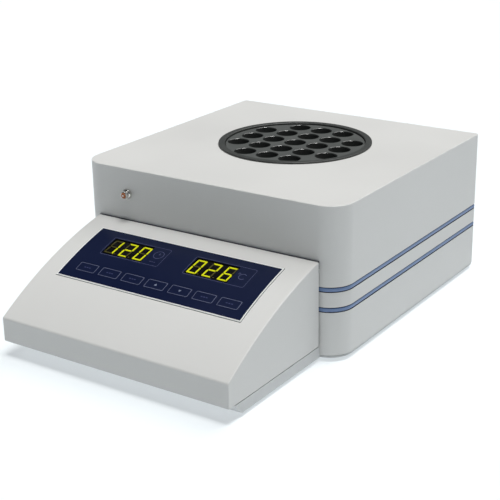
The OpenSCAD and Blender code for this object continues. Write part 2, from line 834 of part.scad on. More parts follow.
// three-digit module: a box with a shallow recess in its face and two rows of pins
module display_module(x) {
    color([0.05, 0.05, 0.05]) on_curve(display_s) translate([x, 0, display_face]) {
        difference() {
            translate([-display_w / 2, -display_l / 2, -display_t]) cube([display_w, display_l, display_t]);
            translate([-display_w / 2 + recess_rim, -display_l / 2 + recess_rim, -digit_t])
                cube([display_w - 2 * recess_rim, display_l - 2 * recess_rim, 1]);
        }
        for (sy = [-1, 1], k = [-2:2]) translate([k * 2.54, sy * 7.6, -display_t - 1.4])
            cylinder(r = 0.3, h = 2);
    }
}

module time_display() { display_module(time_x); }

module temperature_display() { display_module(temperature_x); }

// one segment: a six-sided bar of length l along X
module segment(l) {
    w = stroke / 2;
    polygon([[-l / 2, 0], [-l / 2 + w, w], [l / 2 - w, w], [l / 2, 0], [l / 2 - w, -w], [-l / 2 + w, -w]]);
}

// seven segments of one digit, leaning to the right
module digit() {
    gap = 0.4;
    h = (digit_h - stroke) / 2;
    multmatrix([[1, tan(digit_lean), 0, 0], [0, 1, 0, 0], [0, 0, 1, 0]]) linear_extrude(digit_t) {
        for (y = [-h, 0, h]) translate([0, y]) segment(digit_w - gap);
        for (sx = [-1, 1], sy = [-1, 1]) translate([sx * digit_w / 2, sy * h / 2]) rotate(90) segment(h - gap);
    }
}

module digits(x) {
    color([0.85, 0.85, 0.1]) on_curve(display_s) for (i = [-1:1])
        translate([x + i * digit_pitch, 0, display_face - digit_t]) digit();
}

module time_digits() { digits(time_x); }

module temperature_digits() { digits(temperature_x); }

// ---------- electronics ----------

module control_board() {
    color([0.1, 0.35, 0.18]) on_curve(board_s) difference() {
        rounded_plate(board_w, board_l, board_t, 2, -board_drop - board_t);
        for (sx = [-1, 1], sy = [-1, 1]) hole_z(sx * standoff_x, sy * standoff_y, -board_drop, screw_r);
    }
}

// spacers between the panel frame and the control board
module board_standoff_set() {
    color("silver") on_curve(board_s) for (sx = [-1, 1], sy = [-1, 1])
        translate([sx * standoff_x, sy * standoff_y, -board_drop]) {
            cylinder(r = 2.5, h = board_drop - frame_t - 1.6);
            translate([0, 0, -board_t - 1.4]) cylinder(r = screw_r - fit, h = board_t + 2);
        }
}

module buzzer() {
    color([0.08, 0.08, 0.08]) on_curve(board_s) translate([62, 6, -board_drop - board_t - 8]) difference() {
        cylinder(r = 6, h = 8);
        translate([0, 0, -1]) cylinder(r = 1, h = 3);
    }
}

// a flat cable seen from the side: a strip of even thickness along [y, z] points
function strip_normal(p, i) = let (t = unit(p[min(i + 1, len(p) - 1)] - p[max(i - 1, 0)])) [-t[1], t[0]];
function strip(p, t) = concat([for (i = [0:len(p) - 1]) p[i] + t / 2 * strip_normal(p, i)],
                              [for (i = [len(p) - 1:-1:0]) p[i] - t / 2 * strip_normal(p, i)]);
module ribbon_cable() {
    route = [[front_y - 28, foot_h + 58.6], [front_y - 26, foot_h + 54], [front_y - 21, foot_h + 53],
             [front_y - 15, foot_h + 58], [front_y - 8, cable_hole_z], [front_y + 10, cable_hole_z],
             [front_y + 19, foot_h + 62], [front_y + 24, foot_h + 53], [front_y + 25, foot_h + 42],
             [front_y + 25, supply_z + board_t + 0.2]];
    color([0.6, 0.6, 0.62]) translate([cable_hole_x, 0, 0]) prism_x(7, strip(route, 1));
}

// power board with the two clips that hold the fuse
module power_board() {
    color([0.1, 0.35, 0.18]) difference() {
        union() {
            translate([supply_x, supply_y, 0]) rounded_plate(supply_w, supply_l, board_t, 2, supply_z);
            for (s = [-1, 1]) translate([fuse_x + s * 8.5, fuse_y, supply_z + board_t + 1.5])
                cube([4, 7, 3], center = true);
        }
        for (p = supply_screws) hole_z(p[0], p[1], supply_z, screw_r);
    }
}

module power_standoff_set() {
    color("silver") for (p = supply_screws) translate([p[0], p[1], case_z]) {
        cylinder(r = 3, h = supply_z - case_z);
        cylinder(r = screw_r - fit, h = supply_z - case_z + board_t + 1.4);
    }
}

// mains transformer: a laminated core round a wound bobbin
module transformer() {
    color([0.35, 0.35, 0.37]) translate([transformer_x, transformer_y, case_z]) {
        difference() {
            translate([-24, -10, 0]) cube([48, 20, 40]);
            for (s = [-1, 1]) translate([s * 12 - 4, -11, 8]) cube([8, 22, 24]);
        }
        translate([-15.5, -17, 8.5]) difference() {
            cube([31, 34, 23]);
            translate([7, 6.9, -1]) cube([17, 20.2, 25]);
        }
    }
}

module heat_sink() {
    color([0.7, 0.7, 0.72]) translate([sink_x, sink_y, supply_z + board_t]) {
        cube([32, 3, 28]);
        for (i = [0:5]) translate([i * 6, 2, 0]) cube([2, 12, 28]);
    }
}

// switching element on the face of the heat sink, with three legs down to the board
module triac() {
    color([0.1, 0.1, 0.1]) translate([sink_x + 16, sink_y, supply_z + board_t]) {
        translate([-5, -4.4, 8]) cube([10, 4.4, 15]);
        for (i = [-1:1]) translate([i * 2.5 - 0.4, -2.6, 0]) cube([0.8, 0.6, 9]);
    }
}

module fuse() {
    color("silver") translate([fuse_x, fuse_y, supply_z + board_t + 3 + 2.6]) rotate([0, 90, 0]) {
        cylinder(r = 2.4, h = 20, center = true);
        for (s = [-1, 1]) translate([0, 0, s * 8]) cylinder(r = 2.6, h = 5, center = true);
    }
}

module heater_leads() {
    color([0.9, 0.9, 0.85]) for (s = [-1, 1])
        lead([[4 * s, block_y - 59.2, block_z - 2], [4 * s, block_y - 80, block_z - 2],
              [4 * s + 20, front_y + 47, 34], [4 * s + 24, front_y + 44, supply_z + board_t + 0.3]], 2.2);
}

module mains_leads() {
    color([0.45, 0.25, 0.12]) for (i = [0, 1])
        lead([[inlet_x - 7 + 14 * i, rear_face - 28.2, inlet_z - 2],
              [inlet_x - 7 + 14 * i, rear_face - 36, inlet_z - 3], [101, rear_face - 56, 30 - 5 * i],
              [101, front_y + 66, 30 - 5 * i], [90 - 6 * i, front_y + 46, 26],
              [90 - 6 * i, front_y + 44, supply_z + board_t + 0.3]], 2.4);
}

// thin leads of the block's sensor and of the probe socket
module signal_leads() {
    color([0.8, 0.8, 0.8]) {
        lead([[0, block_y - block_r - 17.2, sensor_z], [0, front_y + 50, sensor_z - 4], [6, front_y + 46, 34],
              [6, front_y + 44, supply_z + board_t + 0.3]], 1.8);
        lead([[socket_x, front_y + wall + 9.2, socket_z], [socket_x, front_y + 20, socket_z - 2],
              [-36, front_y + 18, 72], [-6, front_y + 16, 36],
              [-6, front_y + 14, supply_z + board_t + 0.3]], 1.8);
    }
}

main_casing();
upper_stripe();
lower_stripe();
base_plate();
base_screw_set();
feet_set();
rear_panel();
rear_screw_set();
fan_frame();
fan_rotor();
fan_guard();
power_inlet();
inlet_pin_set();
rocker_body();
rocker();
heating_block();
block_ring();
block_insulation();
insulation_jacket();
heater_plate();
heater_clamp();
clamp_screw_set();
base_insulation();
heat_shield();
block_post_set();
temperature_sensor();
thermal_cutout();
probe_socket();
probe_insulator();
console_cover();
console_tray();
console_screw_set();
console_bolt_set();
panel_frame();
panel_overlay();
key_1();
key_2();
key_3();
key_4();
key_5();
key_6();
key_7();
key_switch_set();
time_display();
temperature_display();
time_digits();
temperature_digits();
control_board();
board_standoff_set();
buzzer();
ribbon_cable();
power_board();
power_standoff_set();
transformer();
triac();
heat_sink();
fuse();
heater_leads();
mains_leads();
signal_leads();
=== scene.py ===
import json
from math import asin, atan2, cos, hypot, pi, radians, sin, sqrt, tan

import bmesh
import bpy
from mathutils import Matrix, Vector


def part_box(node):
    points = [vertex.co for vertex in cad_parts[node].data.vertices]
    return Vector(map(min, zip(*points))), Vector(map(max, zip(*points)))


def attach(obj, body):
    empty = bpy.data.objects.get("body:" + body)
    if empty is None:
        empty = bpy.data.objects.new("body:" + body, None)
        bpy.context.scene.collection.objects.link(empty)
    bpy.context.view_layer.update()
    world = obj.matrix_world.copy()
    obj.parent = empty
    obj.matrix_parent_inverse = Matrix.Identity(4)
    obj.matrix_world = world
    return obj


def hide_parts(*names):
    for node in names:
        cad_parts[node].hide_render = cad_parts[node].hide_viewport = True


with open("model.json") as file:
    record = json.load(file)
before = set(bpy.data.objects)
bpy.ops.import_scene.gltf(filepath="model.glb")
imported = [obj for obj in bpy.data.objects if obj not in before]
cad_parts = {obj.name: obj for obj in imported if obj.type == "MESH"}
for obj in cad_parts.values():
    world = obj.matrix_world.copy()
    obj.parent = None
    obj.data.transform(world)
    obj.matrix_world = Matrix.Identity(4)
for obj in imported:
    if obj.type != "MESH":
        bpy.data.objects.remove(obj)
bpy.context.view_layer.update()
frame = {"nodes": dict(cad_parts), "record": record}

scene = bpy.context.scene

# ---------- measures, in millimetres ----------

MM = 0.001  # in metres


def span(node):
    """Lowest and highest corner of a CAD node in millimetres."""
    low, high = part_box(node)
    return [c / MM for c in low], [c / MM for c in high]


case_low, case_high = span("main_casing")
cover_low, cover_high = span("console_cover")
block_low, block_high = span("heating_block")
ring_low, ring_high = span("block_ring")
_, tray_high = span("console_tray")

CASE_X, CASE_TOP = case_high[0], case_high[2]
FRONT_Y, REAR_Y = case_low[1], case_high[1]
FRONT_R, REAR_R, WALL = 20.0, 3.0, 2.0
PLATE_TOP = case_low[2]

BLOCK_Y = (block_low[1] + block_high[1]) / 2
BLOCK_R, BLOCK_TOP, BLOCK_Z = block_high[0], block_high[2], block_low[2]
WELL_R, WELL_DEPTH, WELL_PITCH, MOUTH = 8.75, 62.0, 21.8, 0.85
RING_R, RING_IN, RING_TOP, RING_LOW = ring_high[0], BLOCK_R + 0.4, ring_high[2], ring_low[2]
HOLE_R = RING_IN + 3.6

STRIPES = {"upper_stripe": 58.5, "lower_stripe": 42.3}
STRIPE_H, GROOVE_H, GROOVE_T = 3.4, 4.2, 0.8

LIP_Y, LIP_Z, BACK_Z = cover_low[1], 31.6, cover_high[2]
CONSOLE_X = cover_high[0]
COVER_Z = tray_high[2] + 0.6
ARC_R = 340.0
run, rise = FRONT_Y - LIP_Y, BACK_Z - LIP_Z
chord = hypot(run, rise)
chord_lean, to_centre = atan2(rise, run), sqrt(ARC_R ** 2 - chord ** 2 / 4)
ARC_Y = FRONT_Y - run / 2 + to_centre * sin(chord_lean)
ARC_Z = (BACK_Z + LIP_Z) / 2 - to_centre * cos(chord_lean)
ARC_A0 = asin((ARC_Y - FRONT_Y) / ARC_R)

# X is a middle across the console, S a middle along its curve from the back edge
PANEL_X, PANEL_S, PANEL_W, PANEL_L = -0.9, 49.0, 171.4, 59.4
RIM_W, RIM_UP, SHEET_T, FRAME_T = 1.1, 0.5, 0.78, 2.6
KEY_S, KEY_W, KEY_L, KEY_PITCH, KEY_R, KEY_T = 66.2, 18.4, 9.0, 22.3, 1.2, 1.6
KEY_COUNT, KEY_ROW_X = 7, 1.1
KEY_X = [KEY_ROW_X + (i - (KEY_COUNT - 1) / 2) * KEY_PITCH for i in range(KEY_COUNT)]
DISPLAY_S, DISPLAY_W, DISPLAY_L, FACE = 37.8, 38.8, 19.0, 0.1
DISPLAYS = {"time": (-46.6, "120"), "temperature": (33.9, "026")}
DIGIT_W, DIGIT_H, DIGIT_PITCH, STROKE, LEAN, DIGIT_T = 7.3, 15.8, 14.1, 1.1, 4.5, 0.5
DOT_R, DOT_GAP = 0.55, 2.2


def on_curve(x, s, up=0.0):
    """Point s along the console's curved top from its back edge, up above it."""
    a = ARC_A0 + s / ARC_R
    return x, ARC_Y - sin(a) * (ARC_R + up), ARC_Z + cos(a) * (ARC_R + up)


def on_plane(s, x, y, up):
    """Point in the flat frame that touches the curved top at s; y runs to the rear."""
    a = ARC_A0 + s / ARC_R
    base = on_curve(0, s)
    return x, base[1] + y * cos(a) - up * sin(a), base[2] + y * sin(a) + up * cos(a)


def spot_at(s):
    """The flat frame at s as a function of (x, y, up)."""
    return lambda x, y, up: on_plane(s, x, y, up)


# ---------- materials ----------

def srgb(*rgb):
    """Linear colour from 0 to 255 display values."""
    return [((c / 255 + 0.055) / 1.055) ** 2.4 if c > 10 else c / 255 / 12.92 for c in rgb]


def material(name, color, rough=0.5, metal=0.0, specular=0.5, mottle=0.03, mottle_scale=30.0,
             rough_span=0.06, grain=900.0, grain_h=0.01, stretch=(1, 1, 1), glow=0.0, coat=0.0,
             rings=None):
    """A procedural finish: clouded colour and roughness, fine grain in relief, and turned rings."""
    made = bpy.data.materials.new(name)
    made.use_nodes = True
    tree = made.node_tree
    shader = tree.nodes["Principled BSDF"]
    shader.inputs["Metallic"].default_value = metal
    shader.inputs["Specular IOR Level"].default_value = specular
    shader.inputs["Coat Weight"].default_value = coat
    coords = tree.nodes.new("ShaderNodeTexCoord")

    clouds = tree.nodes.new("ShaderNodeTexNoise")
    clouds.inputs["Scale"].default_value = mottle_scale
    clouds.inputs["Detail"].default_value = 4
    tree.links.new(coords.outputs["Object"], clouds.inputs["Vector"])

    blend = tree.nodes.new("ShaderNodeMix")
    blend.data_type = "RGBA"
    for socket, share in (("A", 1 - mottle), ("B", 1 + mottle)):
        value = [min(1.0, c * share) for c in color] + [1]
        next(i for i in blend.inputs if i.name == socket and i.type == "RGBA").default_value = value
    tree.links.new(clouds.outputs["Fac"], blend.inputs["Factor"])
    mixed = next(o for o in blend.outputs if o.type == "RGBA")
    tree.links.new(mixed, shader.inputs["Base Color"])
    if glow:
        tree.links.new(mixed, shader.inputs["Emission Color"])
        shader.inputs["Emission Strength"].default_value = glow

    spread = tree.nodes.new("ShaderNodeMapRange")
    spread.inputs["From Min"].default_value = 0.3
    spread.inputs["From Max"].default_value = 0.7
    spread.inputs["To Min"].default_value = max(0.02, rough - rough_span)
    spread.inputs["To Max"].default_value = rough + rough_span
    tree.links.new(clouds.outputs["Fac"], spread.inputs["Value"])
    tree.links.new(spread.outputs["Result"], shader.inputs["Roughness"])

    stretched = tree.nodes.new("ShaderNodeMapping")
    stretched.inputs["Scale"].default_value = stretch
    tree.links.new(coords.outputs["Object"], stretched.inputs["Vector"])
    fine = tree.nodes.new("ShaderNodeTexNoise")
    fine.inputs["Scale"].default_value = grain
    fine.inputs["Detail"].default_value = 3
    tree.links.new(stretched.outputs["Vector"], fine.inputs["Vector"])
    bump = tree.nodes.new("ShaderNodeBump")
    bump.inputs["Strength"].default_value = 0.6
    bump.inputs["Distance"].default_value = grain_h * MM
    tree.links.new(fine.outputs["Fac"], bump.inputs["Height"])
    last = bump
    if rings:
        scale, height = rings
        centre = tree.nodes.new("ShaderNodeMapping")
        centre.inputs["Location"].default_value = (0, -BLOCK_Y * MM, 0)
        tree.links.new(coords.outputs["Object"], centre.inputs["Vector"])
        wave = tree.nodes.new("ShaderNodeTexWave")
        wave.wave_type, wave.rings_direction = "RINGS", "Z"
        wave.inputs["Scale"].default_value = scale
        wave.inputs["Distortion"].default_value = 0.4
        tree.links.new(centre.outputs["Vector"], wave.inputs["Vector"])
        last = tree.nodes.new("ShaderNodeBump")
        last.inputs["Strength"].default_value = 0.5
        last.inputs["Distance"].default_value = height * MM
        tree.links.new(wave.outputs["Fac"], last.inputs["Height"])
        tree.links.new(bump.outputs["Normal"], last.inputs["Normal"])
    tree.links.new(last.outputs["Normal"], shader.inputs["Normal"])
    return made


paint = dict(rough=0.42, specular=0.4, mottle=0.012, mottle_scale=9, grain=650, grain_h=0.012)
brushed = dict(rough=0.3, metal=1.0, mottle=0.08, mottle_scale=60, grain=420, grain_h=0.01)
moulded = dict(rough=0.5, specular=0.4, mottle=0.1, mottle_scale=90, grain=1600, grain_h=0.02)
SLOTS = {
    "case_paint": material("case_paint", (0.682, 0.68, 0.668), **paint),
    "stripe_blue": material("stripe_blue", (0.145, 0.225, 0.41), rough=0.36, mottle=0.05,
                            mottle_scale=60, grain=700, grain_h=0.01, stretch=(0.1, 0.1, 1)),
    "plate_paint": material("plate_paint", (0.60, 0.61, 0.61), **paint),
    "zinc_steel": material("zinc_steel", (0.60, 0.61, 0.62), **brushed),
    "black_rubber": material("black_rubber", (0.030, 0.030, 0.031), rough=0.75, specular=0.3,
                             mottle=0.2, mottle_scale=80, grain=1200, grain_h=0.04),
    "black_plastic": material("black_plastic", (0.030, 0.031, 0.034), **moulded),
    "block_anodised": material("block_anodised", (0.115, 0.122, 0.118), rough=0.44, metal=0.35,
                               mottle=0.07, mottle_scale=45, grain=1400, grain_h=0.012,
                               rings=(260, 0.006)),
    "ring_black": material("ring_black", (0.052, 0.055, 0.053), rough=0.42, specular=0.45,
                           mottle=0.08, mottle_scale=50, grain=1500, grain_h=0.015),
    "fibre": material("fibre", (0.78, 0.75, 0.66), rough=0.95, specular=0.1, mottle=0.12,
                      mottle_scale=120, grain=700, grain_h=0.25),
    "mica": material("mica", (0.42, 0.31, 0.18), rough=0.4, mottle=0.2, mottle_scale=70),
    "nickel": material("nickel", (0.70, 0.69, 0.66), rough=0.2, metal=1.0, mottle=0.05, grain=500,
                       grain_h=0.005),
    "insulator_brown": material("insulator_brown", (0.42, 0.13, 0.035), rough=0.38, mottle=0.15,
                                mottle_scale=300),
    "rim_white": material("rim_white", (0.86, 0.87, 0.86), rough=0.3, mottle=0.01, grain=900,
                          grain_h=0.005),
    "overlay_navy": material("overlay_navy", (0.0036, 0.0078, 0.035), rough=0.38, specular=0.18,
                             mottle=0.12, mottle_scale=14, grain=2200, grain_h=0.006),
    "display_black": material("display_black", (0.0045, 0.0045, 0.0045), rough=0.22, specular=0.2,
                              mottle=0.2, mottle_scale=100, grain=500, grain_h=0.002),
    "segment_yellow": material("segment_yellow", (0.36, 0.37, 0.006), rough=0.4, specular=0.1,
                               mottle=0.06, mottle_scale=400, grain_h=0.003, glow=1.1),
    "board_green": material("board_green", (0.03, 0.16, 0.07), rough=0.3, mottle=0.1,
                            mottle_scale=200),
    "cable_grey": material("cable_grey", (0.45, 0.45, 0.47), rough=0.5, mottle=0.06,
                           mottle_scale=150),
    "lead_white": material("lead_white", (0.75, 0.74, 0.68), rough=0.7, mottle=0.06, grain=1500,
                           grain_h=0.08),
    "lead_brown": material("lead_brown", (0.20, 0.09, 0.04), rough=0.45, mottle=0.06,
                           mottle_scale=150),
    "core_grey": material("core_grey", (0.16, 0.16, 0.17), rough=0.55, metal=0.5, mottle=0.1,
                          grain=300, grain_h=0.1, stretch=(1, 12, 1)),
    "bare_aluminium": material("bare_aluminium", (0.66, 0.66, 0.67), **brushed),
    "fuse_glass": material("fuse_glass", (0.72, 0.76, 0.76), rough=0.12, mottle=0.05),
}
# finishes for the panel's print, and two of painted shade: the gap shade and the dark well mouths
PRINT_AND_SHADE = {
    # painted shade: a near-black finish laid on groove walls, seams and recess walls for the shade in
    # the gaps
    "joint": material("joint_dark", srgb(30, 36, 52), rough=0.6, mottle=0.1),
    # painted shade: the well mouths are coloured darker than the block for the shade of the holes;
    # the low roughness and strong specular are their real gloss
    "mouth": material("mouth_gloss_painted_shade", (0.03, 0.031, 0.03), rough=0.16, specular=1.0, mottle=0.05,
                      mottle_scale=120, grain=1800, grain_h=0.004),
    "unlit": material("segment_unlit", srgb(74, 70, 30), rough=0.4, specular=0.3, mottle=0.15,
                      mottle_scale=300, grain_h=0.003),
    "line": material("print_line", srgb(88, 92, 124), rough=0.4, specular=0.2, mottle=0.15,
                     mottle_scale=160, grain=1500, grain_h=0.003),
    "edge": material("print_edge", srgb(112, 118, 146), rough=0.4, specular=0.2, mottle=0.2,
                     mottle_scale=120, grain=1500, grain_h=0.003),
    "glyph": material("print_glyph", srgb(128, 136, 160), rough=0.4, specular=0.2, mottle=0.1,
                      mottle_scale=300, grain=1500, grain_h=0.003),
    "mark": material("print_mark", srgb(62, 68, 104), rough=0.4, specular=0.2, mottle=0.15,
                     mottle_scale=300, grain=1500, grain_h=0.003),
}


# ---------- mesh helpers ----------

def make(name, parts, mats):
    """One object from (verts, faces, material index) parts, each a closed shape in millimetres."""
    bm = bmesh.new()
    for verts, faces, index in parts:
        corners = [bm.verts.new([c * MM for c in v]) for v in verts]
        for face in faces:
            bm.faces.new([corners[i] for i in face]).material_index = index
    bmesh.ops.remove_doubles(bm, verts=bm.verts, dist=2e-7)
    bmesh.ops.recalc_face_normals(bm, faces=bm.faces)
    mesh = bpy.data.meshes.new(name)
    bm.to_mesh(mesh)
    bm.free()
    for m in mats:
        mesh.materials.append(m)
    made = bpy.data.objects.new(name, mesh)
    scene.collection.objects.link(made)
    return made


def loft(loops, index=0, closed=False):
    """Skin over loops of equal length; open ends get a flat cap."""
    n, rows = len(loops[0]), len(loops)
    verts = [p for loop in loops for p in loop]
    faces = []
    for i in range(rows if closed else rows - 1):
        j = (i + 1) % rows
        faces += [(i * n + k, i * n + (k + 1) % n, j * n + (k + 1) % n, j * n + k) for k in range(n)]
    if not closed:
        faces += [tuple(range(n - 1, -1, -1)), tuple(range((rows - 1) * n, rows * n))]
    return verts, faces, index


def apply_modifiers(ob):
    graph = bpy.context.evaluated_depsgraph_get()
    graph.update()
    mesh = bpy.data.meshes.new_from_object(ob.evaluated_get(graph), preserve_all_data_layers=True,
                                           depsgraph=graph)
    ob.modifiers.clear()
    ob.data = mesh


def cut(ob, *cutters):
    """Takes each cutter out of ob, and removes the cutters."""
    for cutter in cutters:
        step = ob.modifiers.new("cut", "BOOLEAN")
        step.operation, step.solver, step.object = "DIFFERENCE", "EXACT", cutter
    apply_modifiers(ob)
    for cutter in cutters:
        bpy.data.objects.remove(cutter, do_unlink=True)
    return ob


def dress(ob, angle=32.0):
    """Smooth shading up to an angle, with flat faces kept flat."""
    mesh = ob.data
    mesh.polygons.foreach_set("use_smooth", [True] * len(mesh.polygons))
    mesh.set_sharp_from_angle(angle=radians(angle))
    step = ob.modifiers.new("even", "WEIGHTED_NORMAL")
    step.keep_sharp, step.weight = True, 50
    apply_modifiers(ob)
    return ob


def place(ob, body, slot, *nodes, angle=32.0):
    """Finishes a piece, hands it to its body, and hides the CAD nodes that it stands for; slot is not
    used.
    """
    dress(ob, angle)
    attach(ob, body)
    if nodes:
        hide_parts(*nodes)
    return ob


def arc_steps(n, start=0.0, end=90.0):
    return [radians(start + (end - start) * k / n) for k in range(n + 1)]


def turned(profile, centre=(0, 0), segments=96, index=0, closed=False, axis="Z"):
    """A turned shape from (radius, height) points about an axis through centre."""
    def spot(r, h, a):
        u, v = centre[0] + r * cos(a), centre[1] + r * sin(a)
        return (u, v, h) if axis == "Z" else (u, h, v)
    turns = [2 * pi * k / segments for k in range(segments)]
    return loft([[spot(r, h, a) for a in turns] for r, h in profile], index, closed)


def slab(x0, x1, s0, s1, up0, up1, index=0, step=4.0):
    """A plate on the console's curved top."""
    rows = max(1, round((s1 - s0) / step))
    corners = ((x0, up0), (x1, up0), (x1, up1), (x0, up1))
    return loft([[on_curve(x, s0 + (s1 - s0) * k / rows, up) for x, up in corners]
                 for k in range(rows + 1)], index)


def round_rect(w, l, r, steps=6):
    """Corner-rounded rectangle about the origin, as (x, y) points."""
    points = []
    for cx, cy, start in ((1, -1, -90), (1, 1, 0), (-1, 1, 90), (-1, -1, 180)):
        for a in arc_steps(steps, start, start + 90):
            points.append((cx * (w / 2 - r) + r * cos(a), cy * (l / 2 - r) + r * sin(a)))
    return points


def ribbon(path, width, up0, up1, index=0, closed=True, spot=on_curve):
    """A thin raised line along (x, s) points, as one solid band."""
    n = len(path)
    loops = []
    for i, (x, s) in enumerate(path):
        before = path[i - 1 if closed or i else 0]
        after = path[(i + 1) % n if closed or i < n - 1 else i]
        dx, ds = after[0] - before[0], after[1] - before[1]
        length = hypot(dx, ds) or 1.0
        nx, ns = -ds / length * width / 2, dx / length * width / 2
        loops.append([spot(x + nx, s + ns, up0), spot(x - nx, s - ns, up0),
                      spot(x - nx, s - ns, up1), spot(x + nx, s + ns, up1)])
    return loft(loops, index, closed)


def prism(outline, spot, up0, up1, index=0):
    """An outline of (x, y) points raised between two heights."""
    return loft([[spot(x, y, up0) for x, y in outline], [spot(x, y, up1) for x, y in outline]], index)


# ---------- case ----------

def case_loop(inset, z, steps=14):
    """Plan of the case, from the left end of its flat rear, round the front, to the right end."""
    x, y0, y1 = CASE_X - inset, FRONT_Y + inset, REAR_Y - inset
    fr, rr = FRONT_R - inset, REAR_R - inset
    corners = ((rr - x, y1 - rr, rr, 90), (fr - x, y0 + fr, fr, 180),
               (x - fr, y0 + fr, fr, 270), (x - rr, y1 - rr, rr, 0))
    return [(cx + r * cos(a), cy + r * sin(a), z)
            for cx, cy, r, start in corners for a in arc_steps(steps, start, start + 90)]


def round_case(section, index=0):
    """Sweeps (inset, z) points round the case from one rear corner to the other."""
    rails = [case_loop(inset, z) for inset, z in section]
    return loft([[rail[i] for rail in rails] for i in range(len(rails[0]))], index)


EDGE, SKIRT_GAP, SKIRT_EDGE = 0.7, 0.5, 0.5
# the case's second finish is painted gap shade
case_mats = [SLOTS["case_paint"], PRINT_AND_SHADE["joint"]]
skirt = PLATE_TOP + SKIRT_GAP
shell = [case_loop(SKIRT_EDGE * d, skirt + SKIRT_EDGE * up) for d, up in ((1, 0), (0.3, 0.3), (0, 1))]
shell += [case_loop(EDGE * (1 - cos(a)), CASE_TOP - EDGE * (1 - sin(a))) for a in arc_steps(7)]
casing = make("case_shell", [loft(shell)], case_mats)
room = make("room", [loft([case_loop(WALL, PLATE_TOP - 5), case_loop(WALL, CASE_TOP - WALL)])],
            case_mats)
opening = make("opening", [turned([(HOLE_R, CASE_TOP - 10), (HOLE_R, CASE_TOP + 5)], (0, BLOCK_Y),
                                  128)], case_mats)
# painted shade: the groove cutters carry index 1, so the walls of the stripe grooves take the dark
# gap shade
groove = ((-1, -1), (-1, 1), (GROOVE_T, 1), (GROOVE_T, -1))
grooves = make("grooves", [round_case([(d, z + side * GROOVE_H / 2) for d, side in groove], 1)
                           for z in STRIPES.values()], case_mats)
WINDOW_W, WINDOW_H, WINDOW_Z = 200.0, 90.0, 63.0
window = make("window", [prism([(x, z + WINDOW_Z) for x, z in round_rect(WINDOW_W, WINDOW_H, 1, 3)],
                               lambda x, z, y: (x, y, z), REAR_Y - 6, REAR_Y + 4)], case_mats)
cut(casing, room, opening, grooves, window)
place(casing, "housing", "case_paint", "main_casing")

for node, z in STRIPES.items():
    crown = [(0.05 + 0.5 * abs(t) ** 3, z + t * STRIPE_H / 2)
             for t in (-1, -0.88, -0.6, -0.3, 0, 0.3, 0.6, 0.88, 1)]
    section = [(GROOVE_T, z - STRIPE_H / 2)] + crown + [(GROOVE_T, z + STRIPE_H / 2)]
    trim = make(node + "_trim", [round_case(section)], [SLOTS["stripe_blue"], PRINT_AND_SHADE["joint"]])
    for face in trim.data.polygons:  # painted shade: the long edges, where the groove shades them, take the dark gap-shade finish
        if abs(face.center.z / MM - z) > 0.44 * STRIPE_H:
            face.material_index = 1
    place(trim, "housing", "stripe_blue", node, angle=50)

# ---------- heating block and ring ----------

BLOCK_EDGE, RING_EDGE, RING_LEAD, BLOCK_SIDES = 0.6, 0.6, 0.9, 144
block_side = [(BLOCK_R - 0.5, BLOCK_Z), (BLOCK_R, BLOCK_Z + 0.5)]
block_side += [(BLOCK_R - BLOCK_EDGE * (1 - cos(a)), BLOCK_TOP - BLOCK_EDGE * (1 - sin(a)))
               for a in arc_steps(5)]
block = make("well_block", [turned(block_side, (0, BLOCK_Y), BLOCK_SIDES)],
             [SLOTS["block_anodised"], PRINT_AND_SHADE["mouth"]])


def well(x, y, r, depth, mouth, segments=64):
    """Cutter for a blind hole with a rolled mouth, and the material index of each of its faces."""
    foot = [(r, BLOCK_TOP - depth)]
    if r > 2:
        foot = [(r - 1 + sin(a), BLOCK_TOP - depth + 1 - cos(a)) for a in arc_steps(4)]
    roll = [(r + mouth * (1 - cos(a)), BLOCK_TOP - mouth * (1 - sin(a)))
            for a in arc_steps(8, 0, 82)]
    rim = [(roll[-1][0], BLOCK_TOP + 1)]
    verts, faces, _ = turned(foot + roll + rim, (x, y), segments)
    first = len(foot) * segments
    # the rolled mouth's faces take index 1, the mouth finish darkened with painted shade
    return verts, faces, [int(min(f) >= first and len(f) == 4) for f in faces]


def make_cutters(name, cutters, mats):
    """Several cutters in one object, with a material index for each face."""
    ob = make(name, [(verts, faces, 0) for verts, faces, _ in cutters], mats)
    indices = [i for _, _, group in cutters for i in group]
    ob.data.polygons.foreach_set("material_index", indices)
    return ob


grid = [(i * WELL_PITCH, BLOCK_Y + j * WELL_PITCH) for i in range(-2, 3) for j in range(-2, 3)
        if abs(i) + abs(j) < 4]
PIN_HOLE = (25.3, BLOCK_Y - 25.7)
holes = [well(x, y, WELL_R, WELL_DEPTH, MOUTH) for x, y in grid]
holes.append(well(*PIN_HOLE, 1.0, 5.0, 0.5, 24))
cut(block, make_cutters("holes", holes, list(block.data.materials)))
place(block, "housing", "block_anodised", "heating_block")

ring_neck = HOLE_R - 0.4
ring_profile = [(RING_IN, RING_LOW), (ring_neck, RING_LOW), (ring_neck, CASE_TOP),
                (RING_R - 0.2, CASE_TOP), (RING_R, CASE_TOP + 0.2)]
ring_profile += [(RING_R - RING_EDGE * (1 - cos(a)), RING_TOP - RING_EDGE * (1 - sin(a)))
                 for a in arc_steps(5)]
ring_profile += [(RING_IN + RING_LEAD * (1 - sin(a)), RING_TOP - RING_LEAD * (1 - cos(a)))
                 for a in arc_steps(6)]
place(make("block_collar", [turned(ring_profile, (0, BLOCK_Y), BLOCK_SIDES, closed=True)],
           [SLOTS["ring_black"]]), "housing", "ring_black", "block_ring")

# ---------- console ----------

LIP_R, SIDE_EDGE, BACK_GAP, FLANGE, SEAT_GAP = 2.4, 0.9, 1.5, 9.0, 0.35


